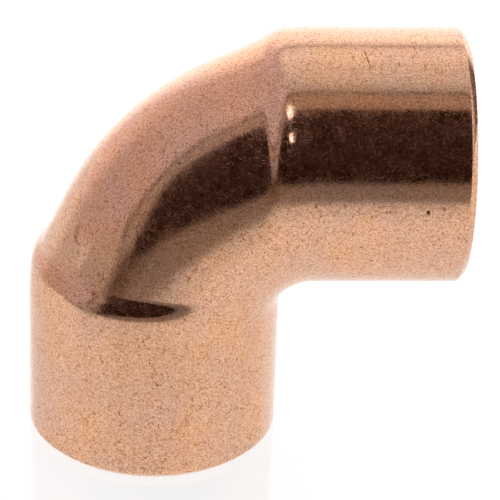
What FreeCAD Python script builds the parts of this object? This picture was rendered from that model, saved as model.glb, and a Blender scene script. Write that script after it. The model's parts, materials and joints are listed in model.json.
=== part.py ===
import FreeCAD, Part
import math
import os

# A 90 degree wrought copper elbow with two solder sockets, formed in one piece from tube.
# The part stands on the mouth of its lower socket.  The origin is the centre of that mouth,
# +Z runs up the lower socket's axis and +X runs out along the upper socket's axis.
# All lengths are millimetres and all angles are degrees.
#
# The two legs are mirror images of each other, and so are the front and back halves.
# Each leg is turned: a plain cylinder outside and a plain bore inside.  Between the legs
# the skin is freeform.  Its envelope is a round bend as wide as the sockets, and on the
# outside of the bend the envelope gives way to a narrower pair of tubes that lean across
# the corner and meet in a rounded mitre.  The step from the socket down to that pair of
# tubes is the shoulder outside, and the tube stop inside.

# Sockets, for tube of 15.9 mm outside diameter.
SOCKET_RADIUS = 8.9
BORE_RADIUS = 7.99
SOCKET_DEPTH = 12.7
CENTRE_TO_END = 21.3

# Mouth: a filed bevel outside and a small lead-in inside.
MOUTH_BEVEL = 0.48
LEAD_IN = 0.12

# Outer skin of the bend.  Positions along a leg are measured from where the legs' axes cross.
BEND_RADIUS = 11.0
SHOULDER_AT = 8.15
SHOULDER_LENGTH = 1.2
NECK_RADIUS = 8.51

# Inner skin of the bend, which starts where the bores end.
BORE_BEND_RADIUS = CENTRE_TO_END - SOCKET_DEPTH
STOP_LENGTH = 1.0
WALL = 0.95

# The leaning tubes: their lean from the leg's axis, the place where their outer line leaves
# the side of the leg, and how far the mitre between them is rounded.
NECK_LEAN = 25.4
HEEL_STARTS_AT = 9.0
MITRE_ROUNDING = 4.7

# How gently the leaning tubes run out of the envelope where no shoulder separates them.
RUN_OUT = 0.09

# Spacing of the points through which the freeform skin is drawn.
STEPS_ALONG_BEND = 60
STEPS_AROUND_HALF = 24
SEARCH_STEPS = 34
TINY = 0.001

AXES_CROSS = FreeCAD.Vector(0, 0, CENTRE_TO_END)
ACROSS_THE_BEND = FreeCAD.Vector(1, 0, 1)
FRONT_TO_BACK = FreeCAD.Vector(0, 1, 0)


def smooth_ramp(t):
    """Rise smoothly from 0 at t = 0 to 1 at t = 1."""
    t = min(max(t, 0.0), 1.0)
    return t * t * (3.0 - 2.0 * t)


def soft_positive(value, reach):
    """The positive part of value, rounded within reach of zero."""
    if value <= -reach:
        return 0.0
    if value >= reach:
        return value
    return (value + reach) ** 2 / (4.0 * reach)


def envelope(x, y, z, bend_radius, tube_radius):
    """Distance outside a round bend that runs straight on into both legs."""
    inward = bend_radius - x
    upward = z + bend_radius
    if upward < 0.0:
        from_pivot = inward
    elif inward < 0.0:
        from_pivot = upward
    else:
        from_pivot = math.hypot(inward, upward)
    return math.hypot(from_pivot - bend_radius, y) - tube_radius


def leaning_tubes(x, y, z, tube_radius):
    """Distance outside the two leaning tubes, with the mitre between them rounded."""
    cos_lean = math.cos(math.radians(NECK_LEAN))
    sin_lean = math.sin(math.radians(NECK_LEAN))
    lower = (x + SOCKET_RADIUS) * cos_lean - (z + HEEL_STARTS_AT) * sin_lean - NECK_RADIUS
    upper = (SOCKET_RADIUS - z) * cos_lean - (HEEL_STARTS_AT - x) * sin_lean - NECK_RADIUS
    overlap = max(MITRE_ROUNDING - abs(lower - upper), 0.0)
    sideways = min(lower, upper) - overlap ** 2 / (4.0 * MITRE_ROUNDING)
    return math.hypot(sideways, y) - tube_radius


class Skin:
    """One freeform skin of the bend, outside or inside, given as a signed distance."""

    def __init__(self, bend_radius, leg_radius, neck_radius, step_at, step_length):
        self.bend_radius = bend_radius
        self.leg_radius = leg_radius
        self.neck_radius = neck_radius
        self.step_at = step_at
        self.step_length = step_length

    def distance(self, x, y, z):
        """Positive outside the skin; x and z are measured from where the axes cross."""
        wide = envelope(x, y, z, self.bend_radius, self.leg_radius)
        narrow = leaning_tubes(x, y, z, self.neck_radius)
        past_lower_step = smooth_ramp((z + self.step_at) / self.step_length + 0.5)
        past_upper_step = smooth_ramp((self.step_at - x) / self.step_length + 0.5)
        return wide + past_lower_step * past_upper_step * soft_positive(narrow - wide, RUN_OUT)

    def point(self, turn, around):
        """The skin's point at an angle along the bend and an angle around its section."""
        centre_x = self.bend_radius * (1.0 - math.cos(turn))
        centre_z = self.bend_radius * (math.sin(turn) - 1.0)
        ray_x = math.cos(around) * math.cos(turn)
        ray_y = math.sin(around)
        ray_z = -math.cos(around) * math.sin(turn)
        inside = 0.3 * self.leg_radius
        outside = 1.1 * self.leg_radius
        for _ in range(SEARCH_STEPS):
            reach = 0.5 * (inside + outside)
            x = centre_x + reach * ray_x
            z = centre_z + reach * ray_z
            if self.distance(x, reach * ray_y, z) < 0.0:
                inside = reach
            else:
                outside = reach
        return FreeCAD.Vector(x, reach * ray_y, z) + AXES_CROSS

    def faces(self):
        """The back half of the skin, drawn through its points."""
        rows = []
        for i in range(STEPS_ALONG_BEND + 1):
            turn = math.radians(90.0 * i / STEPS_ALONG_BEND)
            row = []
            for j in range(STEPS_AROUND_HALF + 1):
                around = math.radians(180.0 * j / STEPS_AROUND_HALF)
                row.append(self.point(turn, around))
            rows.append(row)
        surface = Part.BSplineSurface()
        surface.interpolate(rows)
        back = surface.toShape()
        front = back.mirror(FreeCAD.Vector(), FRONT_TO_BACK)
        return [back, front]

    def solid(self):
        """The bend within this skin, closed with flat ends where the legs begin."""
        sides = self.faces()
        end_at = CENTRE_TO_END - self.bend_radius
        lower_end = [edge for side in sides for edge in side.Edges if edge.BoundBox.ZMax < end_at + TINY]
        lower_face = Part.Face(Part.Wire(lower_end))
        upper_face = lower_face.mirror(AXES_CROSS, ACROSS_THE_BEND)
        closed = Part.makeCompound(sides + [lower_face, upper_face])
        closed.sewShape()
        return Part.makeSolid(closed.Shells[0])


def turned(profile):
    """Both legs as solids of revolution: the lower one, and its mirror image."""
    corners = [FreeCAD.Vector(radius, 0, height) for radius, height in profile]
    face = Part.Face(Part.makePolygon(corners + corners[:1]))
    lower = face.revolve(FreeCAD.Vector(), FreeCAD.Vector(0, 0, 1), 360)
    return [lower, lower.mirror(AXES_CROSS, ACROSS_THE_BEND)]


def make_elbow_body():
    """The whole elbow as one closed solid."""
    outer = Skin(BEND_RADIUS, SOCKET_RADIUS, NECK_RADIUS, SHOULDER_AT, SHOULDER_LENGTH)
    stop_at = BORE_BEND_RADIUS - 0.5 * STOP_LENGTH
    inner = Skin(BORE_BEND_RADIUS, BORE_RADIUS, NECK_RADIUS - WALL, stop_at, STOP_LENGTH)
    legs = turned([
        (0.0, 0.0),
        (SOCKET_RADIUS - MOUTH_BEVEL, 0.0),
        (SOCKET_RADIUS, MOUTH_BEVEL),
        (SOCKET_RADIUS, CENTRE_TO_END - BEND_RADIUS),
        (0.0, CENTRE_TO_END - BEND_RADIUS),
    ])
    bores = turned([
        (0.0, 0.0),
        (BORE_RADIUS + LEAD_IN, 0.0),
        (BORE_RADIUS, LEAD_IN),
        (BORE_RADIUS, CENTRE_TO_END - BORE_BEND_RADIUS),
        (0.0, CENTRE_TO_END - BORE_BEND_RADIUS),
    ])
    metal = outer.solid().fuse(legs, TINY).removeSplitter()
    waterway = inner.solid().fuse(bores, TINY).removeSplitter()
    return metal.cut(waterway)


os.makedirs("parts", exist_ok=True)
elbow_body = make_elbow_body()
elbow_body.exportStep("parts/elbow_body.step")
size = elbow_body.BoundBox
print("valid", elbow_body.isValid(), "closed", elbow_body.isClosed())
print("volume %.1f mm3" % elbow_body.Volume)
print("size %.2f x %.2f x %.2f mm" % (size.XLength, size.YLength, size.ZLength))
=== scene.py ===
import json
import math

import bpy
import numpy as np
from mathutils import Matrix, Vector


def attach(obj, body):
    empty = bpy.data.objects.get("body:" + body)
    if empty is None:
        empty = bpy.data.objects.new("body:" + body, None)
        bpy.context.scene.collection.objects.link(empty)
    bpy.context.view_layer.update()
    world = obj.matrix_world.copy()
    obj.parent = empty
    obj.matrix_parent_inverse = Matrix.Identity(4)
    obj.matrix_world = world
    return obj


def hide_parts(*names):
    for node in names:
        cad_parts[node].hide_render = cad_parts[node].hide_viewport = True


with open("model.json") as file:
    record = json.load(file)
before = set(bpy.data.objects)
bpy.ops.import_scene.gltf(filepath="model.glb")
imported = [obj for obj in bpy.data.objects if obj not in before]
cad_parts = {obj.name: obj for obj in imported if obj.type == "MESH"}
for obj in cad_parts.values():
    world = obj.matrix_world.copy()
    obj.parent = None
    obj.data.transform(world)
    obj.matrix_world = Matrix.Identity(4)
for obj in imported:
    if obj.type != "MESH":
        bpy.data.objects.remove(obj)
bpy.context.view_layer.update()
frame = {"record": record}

# A wrought copper solder elbow, standing on its lower socket's mouth.  The skin is drawn
# here again, finer than the design's own mesh, from nearly the same dimensions.  Millimetres,
# with places along a leg measured from where the two legs' axes cross.
MM = 0.001
mounts = {mount["name"]: mount for mount in frame["record"]["mounts"]}
BORE_RADIUS = mounts["upper_socket"]["dims"]["r_mm"]
SOCKET_DEPTH = mounts["upper_socket"]["dims"]["length_mm"]
CENTRE_TO_END = mounts["upper_socket"]["pos_m"][0] / MM
SOCKET_RADIUS = 8.885
MOUTH_BEVEL = 0.47
LEAD_IN = 0.12
EDGE_ROUNDING = 0.05

# Outer skin of the bend.  A shoulder is where it starts along the leg, and its length.
BEND_RADIUS = 11.0
LOWER_SHOULDER = (8.9, 1.8)
UPPER_SHOULDER = (9.2, 2.15)
SHOULDER_CREST = 1.5
NECK_RADIUS = 8.6
NECK_LEAN = math.radians(25.4)
HEEL_STARTS_AT = 9.0
MITRE_ROUNDING = 4.7
RUN_OUT = 0.16

# Inner skin of the bend, which starts where the bores end.
BORE_BEND_RADIUS = CENTRE_TO_END - SOCKET_DEPTH
TUBE_STOP = (BORE_BEND_RADIUS, 0.6)
WALL = 0.95

# Unevenness of the hand-worked skin: its depth, and where the bend's deeper ripple takes over.
CUP_RIPPLE = 0.012
BEND_RIPPLE = 0.035
RIPPLE_WAVELENGTHS = (3.5, 7.0)
RIPPLE_WAVES = 16
BEND_RIPPLE_WITHIN = 8.0
RIPPLE_FADE = 2.0

# Mesh: rings along the bend and along each leg, and points round each ring.
AROUND = 224
BEND_RINGS = 225
BORE_BEND_RINGS = 91
LEG_RINGS = 24
BORE_RINGS = 14
FIRST_LEG_RING = 0.9
FIRST_BORE_RING = 0.6
HALVINGS = 40

# Copper: its two tones, how its specks and its painted heel shade are tinted, and the dull haze of
# its finest scratches.
TAN = (0.775, 0.435, 0.260)
PINK = (0.730, 0.435, 0.295)
SPECK_AND_PAINTED_SHADE_TINT = (1.0, 0.79, 0.63)
DARKEST_TONE = (0.02, 0.012, 0.01)
BRIGHTEST_TONE = (0.98, 0.98, 0.98)
HAZE = (0.80, 0.37, 0.23)
HAZE_ROUGHNESS = 0.6
BUMP_HEIGHT = 0.0000025

# Fineness of the copper's texture, in noise cells per millimetre.  A layer of hairs has its
# fineness and the level of a second noise above which its hairs show.
GRAIN = 8.5
COARSE = 2.6
CLOUDS = 0.9
PATCHES = 0.22
FINE_HAIRS = [(3.1, 0.48), (2.2, 0.48)]
LONG_HAIRS = [(1.1, 0.52), (0.7, 0.56)]

# Marks on the skin, and painted shade at the heel, measured from the crossing: start, end, half
# width, depth of colour.
MARKS_AND_PAINTED_SHADE = [
    ((18.0, -8.9, 0.1), (18.0, -8.9, 0.15), 0.16, 0.85),
    ((13.9, -1.9, 8.7), (14.2, -3.5, 8.2), 0.05, 0.5),
    ((14.1, -5.1, 7.3), (15.0, -6.6, 5.9), 0.035, 0.35),
    ((18.8, 0.5, 8.9), (20.7, 0.5, 8.9), 0.05, 0.4),
    ((1.8, -3.5, 4.4), (2.9, -4.6, 4.4), 0.04, 0.3),
    ((8.4, -2.8, -12.2), (8.5, -2.8, -12.9), 0.05, 0.6),
    ((-1.0, -8.8, -19.7), (-0.4, -8.9, -19.2), 0.04, 0.5),
    # These two are painted shade: a soft darkening of the copper's colour over the heel.
    ((-5.4, -3.7, -3.7), (-5.6, -4.0, -4.4), 0.45, 0.10),
    ((-5.6, -4.0, -4.5), (-5.4, -4.4, -4.8), 0.22, 0.22),
    # These two darken the colour in thin lines along the lower shoulder, under the heel.
    ((-6.7, -4.7, -7.6), (-6.0, -5.6, -7.75), 0.13, 0.40),
    ((-7.2, -3.8, -6.6), (-6.7, -4.7, -7.6), 0.07, 0.25),
]

# The surroundings, in degrees.  One angle runs over the top of the part: 0 is level in
# front, 90 is straight up and 180 is level behind.  The other runs to the side, left below 0.
# Brightness of the light tent by the angle over the part, from the middle out to the left.
TENT_MIDDLE = [
    (-180.0, 1.65), (-150.0, 1.2), (-120.0, 1.06), (-40.0, 1.06), (-34.0, 1.0), (-28.0, 0.89),
    (-21.5, 0.80), (-17.0, 0.52), (-13.5, 0.34), (-3.0, 0.25), (0.0, 0.30), (79.0, 0.48),
    (89.0, 0.60), (94.0, 0.80), (107.0, 0.89), (125.0, 1.17), (133.0, 1.12), (138.0, 1.0),
    (139.8, 0.04), (141.6, 1.0), (150.0, 1.55), (180.0, 1.65),
]
TENT_LEFT = [
    (-180.0, 1.1), (-150.0, 1.0), (-120.0, 1.0), (-60.0, 1.06), (-38.0, 1.0), (-31.0, 0.86),
    (-24.0, 0.82), (-19.0, 0.56), (-16.0, 0.22), (-3.0, 0.22), (0.0, 0.28), (70.0, 0.66),
    (90.0, 0.72), (110.0, 0.67), (120.0, 0.68), (140.0, 0.76), (160.0, 1.0), (180.0, 1.1),
]
TENT_WING = [
    (-180.0, 0.66), (-168.0, 0.72), (-155.0, 0.95), (-120.0, 1.07), (-60.0, 1.05),
    (-45.0, 0.88), (-35.0, 0.68), (-25.0, 0.44), (-16.0, 0.28), (-12.0, 0.42), (-8.0, 0.55),
    (0.0, 0.56), (60.0, 0.66), (90.0, 0.63), (130.0, 0.60), (150.0, 0.64), (180.0, 0.66),
]
WHITE = (1.0, 1.0, 1.0)
ROSY = (1.0, 0.90, 0.98)

# The dark opening in front of the part: its middle over, then half height, half width, power.
OPENING_MIDDLE = 25.0
OPENING = (41.5, 51.0, 2.6)
BORDER = (58.5, 62.5, 2.0)
OPENING_LEAN = 0.10
OPENING_DARK = (0.017, 0.007, 0.005)
BORDER_LINE = (0.15, 0.12, 0.115)
BORDER_MIDDLE = (0.45, 0.36, 0.29)
BORDER_LEFT = (0.44, 0.395, 0.40)
TABLE_EDGE_MIDDLE = (0.27, 0.245, 0.24)
TABLE_EDGE_LEFT = (0.12, 0.09, 0.08)
DARK_BEHIND = (0.12, 0.09, 0.08)

# Two small lamps within the opening: angle over, half height, angle to the side, half width.
LAMPS = [(65.5, 5.5, -15.5, 7.0), (42.0, 3.6, -12.5, 5.5)]
LAMP_CORNERS = 4.0
LAMP_LIGHT = (2.6, 2.5, 2.6)

# White sheet under the part.
FLOOR_HALF = 1.5
SHEET_COLOUR = (0.25, 0.25, 0.25)
SHEET_ROUGHNESS = 0.08
SHEET_GLOW = 0.82

# Camera.
CAMERA_AZIMUTH = math.radians(-4.03)
CAMERA_ELEVATION = math.radians(28.8)
CAMERA_ROLL = math.radians(2.07)
CAMERA_DISTANCE = 200.1
AIM_FROM_CROSSING = Vector((6.74, 0.0, -7.68))
LENS = 203.3
SENSOR = 36.0
NEAREST_SEEN = 0.01


def smooth_ramp(t):
    """Rise smoothly from 0 at t = 0 to 1 at t = 1."""
    t = np.clip(t, 0.0, 1.0)
    return t * t * (3.0 - 2.0 * t)


def soft_positive(value, reach):
    """The positive part of value, rounded within reach of zero."""
    rounded = (value + reach) ** 2 / (4.0 * reach)
    return np.where(value <= -reach, 0.0, np.where(value >= reach, value, rounded))


def envelope(x, y, z, bend_radius, tube_radius):
    """Distance outside a round bend that runs straight on into both legs."""
    inward = bend_radius - x
    upward = z + bend_radius
    round_bend = np.hypot(inward, upward)
    straight_or_round = np.where(inward < 0.0, upward, round_bend)
    from_pivot = np.where(upward < 0.0, inward, straight_or_round)
    return np.hypot(from_pivot - bend_radius, y) - tube_radius


def leaning_tubes(x, y, z, tube_radius):
    """Distance outside the two leaning tubes, with the mitre between them rounded."""
    cos_lean = math.cos(NECK_LEAN)
    sin_lean = math.sin(NECK_LEAN)
    lower = (x + SOCKET_RADIUS) * cos_lean - (z + HEEL_STARTS_AT) * sin_lean - NECK_RADIUS
    upper = (SOCKET_RADIUS - z) * cos_lean - (HEEL_STARTS_AT - x) * sin_lean - NECK_RADIUS
    overlap = np.maximum(MITRE_ROUNDING - abs(lower - upper), 0.0)
    sideways = np.minimum(lower, upper) - overlap ** 2 / (4.0 * MITRE_ROUNDING)
    return np.hypot(sideways, y) - tube_radius


def past_step(towards_corner, step):
    """0 on the leg and 1 in the bend, through a step of (start, length) that begins gently."""
    start, length = step
    along = np.clip((start + towards_corner) / length, 0.0, 1.0)
    return smooth_ramp(along ** SHOULDER_CREST)


def skin_distance(x, y, z, bend_radius, leg_radius, neck_radius, lower_step, upper_step):
    """Signed distance of a skin: the round bend, stepped down to the leaning tubes."""
    wide = envelope(x, y, z, bend_radius, leg_radius)
    narrow = leaning_tubes(x, y, z, neck_radius)
    in_bend = past_step(z, lower_step) * past_step(-x, upper_step)
    return wide + in_bend * soft_positive(narrow - wide, RUN_OUT)


def bend_rings(rings, bend_radius, leg_radius, *neck_and_steps):
    """The skin's points round every ring of the bend, found by halving along rays."""
    turn = np.linspace(0.0, math.pi / 2.0, rings)[:, None]
    around = np.linspace(0.0, 2.0 * math.pi, AROUND, endpoint=False)[None, :]
    centre_x = bend_radius * (1.0 - np.cos(turn))
    centre_z = bend_radius * (np.sin(turn) - 1.0)
    ray_x = np.cos(around) * np.cos(turn)
    ray_y = np.sin(around) + 0.0 * turn
    ray_z = -np.cos(around) * np.sin(turn)
    ray = np.stack([ray_x, ray_y, ray_z], -1)
    inside = np.full(ray.shape[:2], 0.3 * leg_radius)
    outside = np.full(ray.shape[:2], 1.1 * leg_radius)
    for _ in range(HALVINGS):
        reach = 0.5 * (inside + outside)
        place = ray * reach[..., None]
        distance = skin_distance(centre_x + place[..., 0], place[..., 1], centre_z + place[..., 2],
                                 bend_radius, leg_radius, *neck_and_steps)
        inside = np.where(distance < 0.0, reach, inside)
        outside = np.where(distance < 0.0, outside, reach)
    place = ray * (0.5 * (inside + outside))[..., None]
    place[..., 0] += centre_x
    place[..., 2] += centre_z
    return place


def leg_rings(profile):
    """Rings of the lower leg from a list of (radius, height above the mouth)."""
    around = np.linspace(0.0, 2.0 * math.pi, AROUND, endpoint=False)
    rings = []
    for radius, height in profile:
        level = np.full(AROUND, height - CENTRE_TO_END)
        rings.append(np.stack([radius * np.cos(around), radius * np.sin(around), level], -1))
    return np.array(rings)


def other_leg(rings):
    """The same rings on the upper leg, in the order that leads away from the bend."""
    return np.stack([-rings[::-1, :, 2], rings[::-1, :, 1], -rings[::-1, :, 0]], -1)


def rounded_corner(corner, before, after):
    """Three points that round a profile's corner, from the points before and after it."""
    corner, before, after = (np.array(p, float) for p in (corner, before, after))
    back = EDGE_ROUNDING * (before - corner) / np.linalg.norm(before - corner)
    on = EDGE_ROUNDING * (after - corner) / np.linalg.norm(after - corner)
    return [tuple(corner + back), tuple(corner + 0.25 * (back + on)), tuple(corner + on)]


def mouth_profile():
    """The turned profile of a mouth: from the bore, over the rim, to the outside."""
    corners = [
        (BORE_RADIUS, 1.0),
        (BORE_RADIUS, LEAD_IN),
        (BORE_RADIUS + LEAD_IN, 0.0),
        (SOCKET_RADIUS - MOUTH_BEVEL, 0.0),
        (SOCKET_RADIUS, MOUTH_BEVEL),
        (SOCKET_RADIUS, 2.0),
    ]
    profile = []
    for before, corner, after in zip(corners, corners[1:], corners[2:]):
        profile += rounded_corner(corner, before, after)
    return profile


def elbow_rings():
    """Every ring: down the lower bore, over its rim, along the outside, and back inside."""
    bore_heights = np.linspace(SOCKET_DEPTH, FIRST_BORE_RING, BORE_RINGS)
    leg_heights = np.linspace(FIRST_LEG_RING, CENTRE_TO_END - BEND_RADIUS, LEG_RINGS)
    profile = [(BORE_RADIUS, height) for height in bore_heights[1:]]
    profile += mouth_profile()
    profile += [(SOCKET_RADIUS, height) for height in leg_heights[:-1]]
    lower = leg_rings(profile)
    outer = bend_rings(BEND_RINGS, BEND_RADIUS, SOCKET_RADIUS,
                       NECK_RADIUS, LOWER_SHOULDER, UPPER_SHOULDER)
    inner = bend_rings(BORE_BEND_RINGS, BORE_BEND_RADIUS, BORE_RADIUS,
                       NECK_RADIUS - WALL, TUBE_STOP, TUBE_STOP)
    worn = worn_rings(np.concatenate([lower, outer, other_leg(lower)]))
    return np.concatenate([worn, inner[::-1]])


def waviness(place, wavelength):
    """A smooth random ripple between 0 and 1, as a sum of plane waves in mixed directions."""
    generator = np.random.default_rng(7)
    total = np.zeros(place.shape[:2])
    for _ in range(RIPPLE_WAVES):
        direction = generator.normal(size=3)
        this_wavelength = wavelength * generator.uniform(0.7, 1.4)
        direction *= 2.0 * math.pi / (this_wavelength * np.linalg.norm(direction))
        total += np.sin(place @ direction + generator.uniform(0.0, 2.0 * math.pi))
    return np.clip(0.5 + 0.5 * total / math.sqrt(RIPPLE_WAVES) / 1.5, 0.0, 1.0)


def worn_rings(rings):
    """The rings with the skin moved into the metal by a few hundredths of a millimetre."""
    around = np.roll(rings, -1, 1) - np.roll(rings, 1, 1)
    along = np.gradient(rings, axis=0)
    normal = np.cross(around, along)
    normal /= np.linalg.norm(normal, axis=-1, keepdims=True)
    x, z = rings[..., 0], rings[..., 2]
    on_bend = smooth_ramp((BEND_RIPPLE_WITHIN - x) / RIPPLE_FADE)
    on_bend = on_bend * smooth_ramp((BEND_RIPPLE_WITHIN + z) / RIPPLE_FADE)
    depth = CUP_RIPPLE + (BEND_RIPPLE - CUP_RIPPLE) * on_bend
    from_mouth = np.minimum(z + CENTRE_TO_END, CENTRE_TO_END - x)
    depth = depth * smooth_ramp((from_mouth - MOUTH_BEVEL) / RIPPLE_FADE)
    ripple = sum(0.5 * waviness(rings, wavelength) for wavelength in RIPPLE_WAVELENGTHS)
    return rings - normal * (depth * ripple)[..., None]


def grid_mesh(name, rings):
    """A closed mesh of quads through rings that join up, last to first."""
    count, around = rings.shape[:2]
    mesh = bpy.data.meshes.new(name)
    here = np.arange(count * around).reshape(count, around)
    up = np.roll(here, -1, 0)
    quads = np.stack([here, np.roll(here, -1, 1), np.roll(up, -1, 1), up], -1).reshape(-1, 4)
    mesh.from_pydata(rings.reshape(-1, 3).tolist(), [], quads.tolist())
    mesh.polygons.foreach_set("use_smooth", [True] * len(mesh.polygons))
    mesh.update()
    return mesh


def rgba(value):
    """A colour with its alpha; a node's output or a number passes through."""
    return (*value, 1.0) if isinstance(value, tuple) else value


class Graph:
    """Shader nodes of one tree; a value may be a number, a colour or another node's output."""

    def __init__(self, owner):
        owner.use_nodes = True
        self.tree = owner.node_tree
        self.tree.nodes.clear()

    def add(self, kind, values, **settings):
        """A node of one kind, with its settings and its inputs set or linked."""
        node = self.tree.nodes.new("ShaderNode" + kind)
        for key, value in settings.items():
            setattr(node, key, value)
        for key, value in values.items():
            if isinstance(value, bpy.types.NodeSocket):
                self.tree.links.new(value, node.inputs[key])
            else:
                node.inputs[key].default_value = value
        return node

    def math(self, operation, first, second=0.0, third=0.0):
        """One sum on numbers."""
        return self.add("Math", {0: first, 1: second, 2: third}, operation=operation).outputs[0]

    def vector(self, operation, values, output=0):
        """One sum on vectors or colours."""
        return self.add("VectorMath", values, operation=operation).outputs[output]

    def times(self, first, second):
        """The product of two numbers."""
        return self.math("MULTIPLY", first, second)

    def swing(self, noise, amount):
        """A noise about one half, turned into a swing about zero."""
        return self.times(self.math("SUBTRACT", noise, 0.5), amount)

    def ramp(self, value, start, end, low=0.0, high=1.0):
        """A smooth change from low to high as the value goes from start to end."""
        values = {0: value, 1: start, 2: end, 3: low, 4: high}
        return self.add("MapRange", values, interpolation_type="SMOOTHSTEP").outputs[0]

    def blend(self, factor, first, second, way="MIX"):
        """The first colour, giving way to the second as the factor goes to 1."""
        values = {0: factor, 6: rgba(first), 7: rgba(second)}
        return self.add("Mix", values, data_type="RGBA", blend_type=way).outputs[2]

    def noise(self, place, scale, detail=0.0, warp=0.0):
        """A cloudy noise between 0 and 1."""
        values = {"Vector": place, "Scale": scale, "Detail": detail, "Distortion": warp}
        return self.add("TexNoise", values).outputs["Fac"]


def hairs(g, place, width, layers):
    """Fine curved scratches: thin level lines of soft noises, kept where a second one is high."""
    hair = 0.0
    for scale, gaps in layers:
        field = g.noise(place, scale, 0.0, 0.8)
        from_level = g.math("ABSOLUTE", g.math("SUBTRACT", field, 0.5))
        line = g.ramp(from_level, 0.0, width * scale, 1.0, 0.0)
        kept = g.ramp(g.noise(place, 1.3 * scale + 0.7), gaps, gaps + 0.08)
        hair = g.math("MAXIMUM", hair, g.times(line, kept))
    return hair


def mark(g, place, start, end, half_width):
    """1 along the line from start to end, fading to 0 at its half width."""
    length = (Vector(end) - Vector(start)).length
    along = (Vector(end) - Vector(start)) / length
    from_start = g.vector("SUBTRACT", {0: place, 1: start})
    reach = g.vector("DOT_PRODUCT", {0: from_start, 1: along}, "Value")
    reach = g.math("MINIMUM", g.math("MAXIMUM", reach, 0.0), length)
    nearest = g.vector("SCALE", {0: along, 3: reach})
    distance = g.vector("DISTANCE", {0: from_start, 1: nearest}, "Value")
    return g.ramp(distance, half_width, 0.4 * half_width)


def millimetres_from_crossing(g):
    """The place on the skin in the units and from the point that the dimensions use."""
    metres = g.add("TexCoord", {}).outputs["Object"]
    place = g.vector("SCALE", {0: metres, 3: 1000.0})
    return g.vector("SUBTRACT", {0: place, 1: (0.0, 0.0, CENTRE_TO_END)})


def copper_tone(g, place, grain, coarse, clouds, hair):
    """Tan and pink patches, speckled by the grain and darkened by scratches, marks and painted shade
    at the heel.
    """
    patches = g.noise(place, PATCHES, 3.0)
    tone = g.blend(g.ramp(patches, 0.38, 0.62), TAN, PINK)
    speck_and_painted_shade = g.swing(grain, 1.12)
    speck_and_painted_shade = g.math("ADD", speck_and_painted_shade, g.swing(coarse, 0.08))
    speck_and_painted_shade = g.math("ADD", speck_and_painted_shade, g.swing(clouds, 0.10))
    speck_and_painted_shade = g.math("SUBTRACT", speck_and_painted_shade, g.times(hair, 0.36))
    # Scratches and pits darken the tone here, and so does the painted shade at the heel.
    for start, end, half_width, strength in MARKS_AND_PAINTED_SHADE:
        depth = g.times(mark(g, place, start, end, half_width), strength)
        speck_and_painted_shade = g.math("SUBTRACT", speck_and_painted_shade, depth)
    tone = g.vector("ADD", {0: tone, 1: g.vector("SCALE", {0: SPECK_AND_PAINTED_SHADE_TINT, 3: speck_and_painted_shade})})
    tone = g.vector("MAXIMUM", {0: tone, 1: DARKEST_TONE})
    return g.vector("MINIMUM", {0: tone, 1: BRIGHTEST_TONE})


def haze_share(g, grain, coarse, clouds, hair):
    """How much of the light the finest scratches scatter widely, which lifts dark reflections."""
    share = g.math("ADD", g.swing(grain, 0.46), 0.125)
    share = g.math("ADD", share, g.swing(coarse, 0.28))
    share = g.math("ADD", share, g.swing(clouds, 0.26))
    return g.math("MAXIMUM", g.math("MULTIPLY_ADD", hair, 0.22, share), 0.0)


def copper_material():
    """Bright drawn copper that has been tumbled: fine curved scratches over a mottled skin."""
    material = bpy.data.materials.new("tumbled_copper")
    g = Graph(material)
    place = millimetres_from_crossing(g)
    grain = g.noise(place, GRAIN, 1.5)
    coarse = g.noise(place, COARSE, 2.0)
    clouds = g.noise(place, CLOUDS, 3.0)
    fine_hairs = hairs(g, place, 0.015, FINE_HAIRS)
    long_hairs = hairs(g, place, 0.014, LONG_HAIRS)
    hair = g.math("MAXIMUM", g.times(fine_hairs, 0.75), long_hairs)

    height = g.math("ADD", grain, g.times(coarse, 1.5))
    height = g.math("ADD", height, g.times(hair, -0.6))
    bump_values = {"Strength": 1.0, "Distance": BUMP_HEIGHT, "Height": height}
    bump = g.add("Bump", bump_values).outputs[0]
    rough = g.math("ADD", g.ramp(clouds, 0.3, 0.7, 0.07, 0.15), g.times(hair, 0.15))

    tone = copper_tone(g, place, grain, coarse, clouds, hair)
    polish_values = {"Base Color": tone, "Metallic": 1.0, "Roughness": rough, "Normal": bump}
    polish = g.add("BsdfPrincipled", polish_values)
    haze_values = {"Base Color": rgba(HAZE), "Metallic": 1.0, "Roughness": HAZE_ROUGHNESS}
    haze = g.add("BsdfPrincipled", haze_values)
    share = haze_share(g, grain, coarse, clouds, hair)
    shader = g.add("MixShader", {0: share, 1: polish.outputs[0], 2: haze.outputs[0]})
    g.add("OutputMaterial", {"Surface": shader.outputs[0]})
    return material


def floor_material():
    """A glossy white sheet, lit nearly evenly."""
    material = bpy.data.materials.new("white_sheet")
    g = Graph(material)
    sheet = g.add("BsdfPrincipled", {
        "Base Color": rgba(SHEET_COLOUR),
        "Roughness": SHEET_ROUGHNESS,
        "Emission Color": rgba(WHITE),
        "Emission Strength": SHEET_GLOW,
    })
    g.add("OutputMaterial", {"Surface": sheet.outputs[0]})
    return material


def level_ramp(g, over, stops):
    """Grey levels by the angle over the part, from (angle, level), joined by straight lines."""
    ramp = g.add("ValToRGB", {0: g.math("MULTIPLY_ADD", over, 1.0 / 360.0, 0.5)})
    elements = ramp.color_ramp.elements
    while len(elements) < len(stops):
        elements.new(0.5)
    for element, (angle, level) in zip(elements, stops):
        element.position = (angle + 180.0) / 360.0
        element.color = (level, level, level, 1.0)
    return ramp.outputs[0]


def oval(g, over, side, middle, height, width, power):
    """Below 1 inside a rounded patch of the surroundings, and above 1 outside it."""
    up = g.times(g.math("SUBTRACT", over, middle), 1.0 / height)
    across = g.times(side, 1.0 / width)
    up_power = g.math("POWER", g.math("ABSOLUTE", up), power)
    across_power = g.math("POWER", g.math("ABSOLUTE", across), power)
    return g.math("ADD", up_power, across_power)


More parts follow.
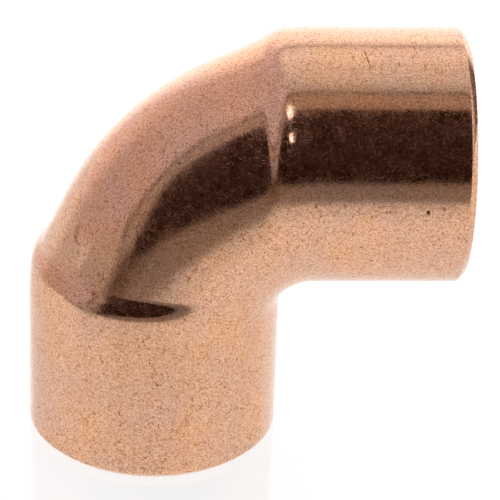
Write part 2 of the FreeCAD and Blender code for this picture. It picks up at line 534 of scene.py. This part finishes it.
def tent_light(g, over, side):
    """The white tent and table, with a rosy tint at the upper left."""
    middle = level_ramp(g, over, TENT_MIDDLE)
    left = level_ramp(g, over, TENT_LEFT)
    wing = level_ramp(g, over, TENT_WING)
    light = g.blend(g.ramp(side, -14.0, -30.0), middle, left)
    light = g.blend(g.ramp(side, -44.0, -64.0), light, wing)
    upper_left = g.times(g.ramp(over, -20.0, 30.0), g.ramp(side, -8.0, -30.0))
    return g.blend(1.0, light, g.blend(upper_left, WHITE, ROSY), "MULTIPLY")


def opening_light(g, light, over, side):
    """The dark opening, inside a half-lit border that ends in a thin shadow line."""
    border = oval(g, over, side, OPENING_MIDDLE, *BORDER)
    line = g.times(g.ramp(border, 1.05, 1.01), g.ramp(over, -22.0, -8.0))
    light = g.blend(line, light, BORDER_LINE)
    within = g.times(g.ramp(border, 0.97, 0.91), g.ramp(over, -2.0, 6.0))
    shade = g.blend(g.ramp(side, -20.0, -40.0), BORDER_MIDDLE, BORDER_LEFT)
    light = g.blend(within, light, shade)

    table_edge = g.times(g.ramp(side, -60.0, -52.0), g.ramp(over, -18.0, -14.0))
    table_edge = g.times(table_edge, g.ramp(over, 6.0, 0.0))
    edge_shade = g.blend(g.ramp(side, -30.0, -48.0), TABLE_EDGE_MIDDLE, TABLE_EDGE_LEFT)
    light = g.blend(table_edge, light, edge_shade)

    # The opening leans a little to the right as it goes up.
    lean = g.math("MULTIPLY_ADD", over, OPENING_LEAN, -OPENING_LEAN * OPENING_MIDDLE)
    opening = oval(g, over, g.math("SUBTRACT", side, lean), OPENING_MIDDLE, *OPENING)
    dark = g.times(g.ramp(opening, 1.15, 0.90), g.ramp(over, -3.0, 3.0))
    return g.blend(dark, light, OPENING_DARK)


def lamp_light(g, light, over, side):
    """The small lamps within the opening."""
    for lamp_over, height, lamp_side, width in LAMPS:
        from_lamp_over = g.math("SUBTRACT", over, lamp_over)
        from_lamp_side = g.math("SUBTRACT", side, lamp_side)
        lamp = oval(g, from_lamp_over, from_lamp_side, 0.0, height, width, LAMP_CORNERS)
        light = g.blend(g.ramp(lamp, 1.3, 0.8), light, LAMP_LIGHT)
    return light


def make_world():
    """A white light tent over a white table, with a dark round opening in front of the part."""
    world = bpy.data.worlds.new("light_tent")
    g = Graph(world)
    parts = g.add("SeparateXYZ", {0: g.add("TexCoord", {}).outputs["Generated"]})
    x, y, z = (parts.outputs[i] for i in range(3))
    to_degrees = 180.0 / math.pi
    over = g.times(g.math("ARCTAN2", z, g.times(y, -1.0)), to_degrees)
    side = g.times(g.math("ARCSINE", x), to_degrees)

    light = tent_light(g, over, side)
    light = opening_light(g, light, over, side)
    light = lamp_light(g, light, over, side)
    behind = g.times(g.ramp(side, 35.0, 46.0), g.ramp(over, 142.0, 153.0))
    light = g.blend(behind, light, DARK_BEHIND)

    # The camera itself sees plain white paper.
    seen = g.add("LightPath", {}).outputs["Is Camera Ray"]
    light = g.blend(seen, light, WHITE)
    g.add("OutputWorld", {"Surface": g.add("Background", {"Color": light}).outputs[0]})
    return world


def make_camera(aim):
    """The camera, looking along its azimuth and elevation at the aim point, then rolled."""
    level = math.cos(CAMERA_ELEVATION)
    back = Vector((math.sin(CAMERA_AZIMUTH) * level,
                   -math.cos(CAMERA_AZIMUTH) * level,
                   math.sin(CAMERA_ELEVATION)))
    level_right = (-back).cross(Vector((0.0, 0.0, 1.0))).normalized()
    level_up = level_right.cross(-back)
    right = math.cos(CAMERA_ROLL) * level_right + math.sin(CAMERA_ROLL) * level_up
    up = math.cos(CAMERA_ROLL) * level_up - math.sin(CAMERA_ROLL) * level_right
    data = bpy.data.cameras.new("camera")
    data.lens = LENS
    data.sensor_width = SENSOR
    data.clip_start = NEAREST_SEEN
    camera = add_object("camera", data)
    turned = Matrix((right, up, back)).transposed().to_4x4()
    camera.matrix_world = Matrix.Translation(aim + back * CAMERA_DISTANCE * MM) @ turned
    return camera


def make_elbow(crossing):
    """The elbow's finished skin, in place of the plain one."""
    rings = elbow_rings() * MM + np.array(crossing)
    elbow = add_object("copper_elbow", grid_mesh("copper_elbow", rings))
    elbow.data.materials.append(copper_material())
    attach(elbow, "root")
    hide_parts("elbow_body")


def make_floor():
    """A wide white sheet, which the copper doesn't reflect because the tent holds its light."""
    corners = [(-1, -1), (1, -1), (1, 1), (-1, 1)]
    mesh = bpy.data.meshes.new("floor")
    mesh.from_pydata([(FLOOR_HALF * x, FLOOR_HALF * y, 0.0) for x, y in corners], [], [(0, 1, 2, 3)])
    floor = add_object("floor", mesh)
    floor.data.materials.append(floor_material())
    floor.visible_glossy = False


def add_object(name, data):
    """A new object in the scene."""
    thing = bpy.data.objects.new(name, data)
    bpy.context.scene.collection.objects.link(thing)
    return thing


crossing = Vector((0.0, 0.0, CENTRE_TO_END * MM))
make_elbow(crossing)
make_floor()
bpy.context.scene.world = make_world()
bpy.context.scene.view_settings.view_transform = "Standard"
bpy.context.scene.camera = make_camera(crossing + AIM_FROM_CROSSING * MM)
